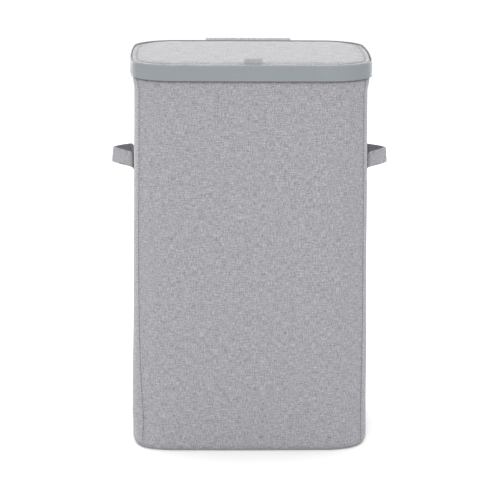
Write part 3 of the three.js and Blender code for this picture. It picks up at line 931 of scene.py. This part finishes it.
def handle_path():
    """The middle of the strap in plan, for the right-hand handle, from one anchor to the other."""
    span = HANDLE_HALF_SPAN
    root, inside = PLATE_FACE + 1.2 * MM, PLATE_FACE - 4.6 * MM
    tip = (HANDLE_TIP_X - 3.6 * MM, HANDLE_TIP_Y)
    front = bend((root, -span), (PIVOT_X + 4 * MM, -28 * MM), tip)
    rear = bend(tip, (PIVOT_X + 10 * MM, 33 * MM), (root, span))
    tails = [[(inside, -span), (inside + 3 * MM, -span)], [(inside + 3 * MM, span), (inside, span)]]
    folded = resample(np.vstack([tails[0], front[1:], rear[1:-1], tails[1]]), STRAP_STATIONS)
    # The strap is rounded all along, but by half at its tip
    at_tip = np.exp(-((np.arange(STRAP_STATIONS) - np.argmax(folded[:, 0])) / 3.0) ** 2)[:, None] * 0.5
    path = relax(folded, 6) * (1 - at_tip) + folded * at_tip
    # Just outside its slots it bellies away from the middle
    run = run_lengths(path)
    for from_end, push in ((run, -2.0 * MM), (run[-1] - run, 1.2 * MM)):
        path[:, 1] += push * np.exp(-((from_end - 9 * MM) / (4 * MM)) ** 2)
    return path


def outward(path):
    """Directions in plan away from the hamper, at each point of the path."""
    heading = np.gradient(path, axis=0)
    heading /= np.linalg.norm(heading, axis=1)[:, None]
    return np.stack([heading[:, 1], -heading[:, 0]], -1)


def strap_lie(path, height):
    """Where the strap lies at a height above its middle: how far it leans out, and its z."""
    run = run_lengths(path)
    from_slot = np.minimum(run, run[-1] - run)
    lean = -STRAP_LEAN * height * smooth(from_slot / (40 * MM))
    free = smooth((from_slot - 3 * MM) / (5 * MM))
    return lean, SLOT_Z + (HANDLE_Z + STRAP_RISE - SLOT_Z) * free + height * (1 + STRAP_SPREAD * free)


def strap_sweep(name, path, side, section, material):
    """A section of (height, out) points in millimetres carried along the handle's path."""
    section = np.array(section) * MM
    normal = outward(path)
    lean, z = (np.stack(part, -1) for part in zip(*(strap_lie(path, height) for height in section[:, 0])))
    x = path[:, None, 0] + normal[:, None, 0] * section[None, :, 1] + lean
    y = path[:, None, 1] + normal[:, None, 1] * section[None, :, 1]
    points = joined(side * x, y, z)
    around = run_lengths(np.vstack([section, section[:1]]))
    uv = joined(run_lengths(path)[:, None], around[None, :])
    if side < 0:
        points, uv = points[::-1], uv[::-1]
    return grid_piece(name, points, uv, [material], wrap_columns=True, angle=60)


def close_ends(obj):
    """Caps the two open ends of a swept strap."""
    bm = bmesh.new()
    bm.from_mesh(obj.data)
    edges = [e for e in bm.edges if e.is_boundary]
    bmesh.ops.holes_fill(bm, edges=edges, sides=0)
    bmesh.ops.recalc_face_normals(bm, faces=bm.faces)
    bm.to_mesh(obj.data)
    bm.free()
    obj.data.set_sharp_from_angle(angle=math.radians(60))


# Sections of the handle's two layers, as (height, out) in millimetres
CLOTH_SECTION = mirrored([
    (-11.2, -1.2), (-12.1, -1.15), (-12.45, -0.6), (-12.5, 0), (-12.4, 0.7), (-12.0, 1.15), (-11, 1.3),
    (-9.8, 1.22), (-STRAP_STITCH, 1.1), (-8.6, 1.22), (-7, 1.35), (-3, 1.4)], (0, 1.4))
CLOTH_SECTION += [(10.6, -0.9), (4, -0.9), (-4, -0.9), (-10.6, -0.9)]
WEB_SECTION = mirrored([
    (-10.7, -0.7), (-10.9, -1.1), (-10.7, -1.4), (-STRAP_STITCH, -1.45), (-5, -1.5)], (0, -1.5))


def add_handle(name, side):
    """A strap loop of cloth outside and webbing inside, sewn along both edges."""
    path = handle_path()
    outer = strap_sweep(f"strap_{name}", path, side, CLOTH_SECTION, BODY)
    inner = strap_sweep(f"webbing_{name}", path, side, WEB_SECTION[::-1], WEBBING)
    for obj in (outer, inner):
        close_ends(obj)
    rows = []
    normal = outward(path)
    keep = slice(8, -8)
    for height in (-STRAP_STITCH * MM, STRAP_STITCH * MM):
        lean, z = strap_lie(path, height)
        for out in (1.1, -1.4):
            spot = path + normal * out * MM
            points = joined(side * (spot[:, 0] + lean), spot[:, 1], z)
            away = np.sign(out) * joined(side * normal[:, 0], normal[:, 1], 0.0)
            rows.append((points[keep], away[keep]))
    thread = stitches(f"handle_stitches_{name}", rows, THREAD, radius=0.35 * MM)
    for obj in (outer, inner, thread):
        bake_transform(obj)
    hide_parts(f"handle_{name}", f"strap_tail_{name}_front", f"strap_tail_{name}_rear")


def stadium(height, width):
    """A loop round a plate with round ends, as (across, up) points."""
    angle = np.linspace(0, 2 * np.pi, 48, endpoint=False)
    across = width / 2 * np.cos(angle)
    up = width / 2 * np.sin(angle) + np.sign(np.sin(angle)) * (height - width) / 2
    return np.stack([across, up], -1)


def add_eyelet(name, side, y):
    """A bevelled slot plate."""
    node = f"slot_plate_{name}"
    low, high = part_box(node)
    height, width, base = high.z - low.z, high.y - low.y, min(abs(low.x), abs(high.x))
    thick = abs(high.x - low.x) - 0.9 * MM
    # From the back round the outer edge and into the slot: (shrink, in the slot, height above the base)
    levels = [
        (0, 0, 0), (0, 0, thick - 0.7 * MM), (0.25 * MM, 0, thick - 0.25 * MM), (0.8 * MM, 0, thick),
        (-0.6 * MM, 1, thick), (-0.15 * MM, 1, thick - 0.25 * MM), (0, 1, thick - 0.7 * MM), (0, 1, 0)]
    rows = []
    for shrink, inner, out in levels:
        tall, wide = (SLOT_HEIGHT, SLOT_WIDTH) if inner else (height, width)
        loop = stadium(tall - 2 * shrink, wide - 2 * shrink)
        rows.append(joined(side * (base + out), y + side * loop[:, 0], SLOT_Z + loop[:, 1]))
    points = np.array(rows)
    uv = np.zeros((points.shape[0] + 1, points.shape[1] + 1, 2))
    eyelet = grid_piece(f"eyelet_{name}", points, uv, [DARK_PLASTIC], True, True, angle=30)
    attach(eyelet, "hamper")
    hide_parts(node)


for name, side in (("left", -1), ("right", 1)):
    add_handle(name, side)
    add_eyelet(f"{name}_front", side, -HANDLE_HALF_SPAN)
    add_eyelet(f"{name}_rear", side, HANDLE_HALF_SPAN)


# ------------------------ carried-over CAD nodes

def finish_for(node):
    if node.startswith(("rod_foot", "rod_cap", "anchor_plate")):
        return DARK_PLASTIC
    if node.startswith("rod_"):
        return ROD_COAT
    return {"top_hoop": RIM_PLASTIC, "lid_board": FIBREBOARD}.get(node, BODY)


for node_name, node_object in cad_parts.items():
    for slot_entry in node_object.material_slots:
        slot_entry.material = finish_for(node_name)


# ------------------------ floor, light and camera

def add_floor():
    """A plain pale floor that reaches past the picture's edge."""
    mesh = bpy.data.meshes.new("floor")
    half = 30
    corners = [(-half, -half, 0), (half, -half, 0), (half, half, 0), (-half, half, 0)]
    mesh.from_pydata(corners, [], [(0, 1, 2, 3)])
    material, tree, shader = start_material("floor_paint", 0.1)
    place = add(tree, "TexCoord").outputs["Object"]
    grain = noise(tree, place, (0.4, 0.4, 0.4))
    colour = blend_colour(tree, grain, rgba((0.86, 0.86, 0.86)), rgba((0.88, 0.88, 0.88)))
    finish_material(tree, shader, colour, remap(tree, grain, 0, 1, 0.95, 0.85), grain, 0.1 * MM, 0.1)
    mesh.materials.append(material)
    put("floor", mesh)


def add_light(name, place, target, size, power):
    data = bpy.data.lights.new(name, "AREA")
    data.shape = "RECTANGLE"
    data.size, data.size_y = size
    data.energy = power
    light = put(name, data)
    light.location = place
    light.rotation_euler = (Vector(target) - Vector(place)).to_track_quat("-Z", "Y").to_euler()


add_floor()
world = bpy.data.worlds.new("studio")
world.use_nodes = True
background = world.node_tree.nodes["Background"]
background.inputs["Color"].default_value = rgba((1, 1, 1))
background.inputs["Strength"].default_value = 1.16
SCENE.world = world
add_light("top", (-0.3, 0.2, 3.4), (0, 0, 0.5), (3.2, 3.2), 40)
add_light("front", (-0.5, -4.4, 2.3), (0, 0, 0.4), (1.2, 0.9), 50)
add_light("left", (-1.8, 2.7, 1.1), (-0.2, 0, 0.35), (0.7, 2.0), 66)
add_light("right", (1.8, 2.7, 1.1), (0.2, 0, 0.35), (0.7, 2.0), 50)

# The camera is fitted to the photo: turned about Z, tilted down and rolled, in radians
CAMERA_PLACE = (-0.0934, -4.0, 1.211)
CAMERA_TURN = -0.0237
CAMERA_TILT = 0.2189
CAMERA_ROLL = 0.0056
camera_data = bpy.data.cameras.new("camera")
camera_data.sensor_width = 36
camera_data.lens = 165.6
camera = put("camera", camera_data)
camera.matrix_world = (Matrix.Translation(CAMERA_PLACE) @ Matrix.Rotation(CAMERA_TURN, 4, "Z")
                       @ Matrix.Rotation(math.pi / 2 - CAMERA_TILT, 4, "X")
                       @ Matrix.Rotation(CAMERA_ROLL, 4, "Z"))
SCENE.camera = camera
SCENE.view_settings.view_transform = "Standard"
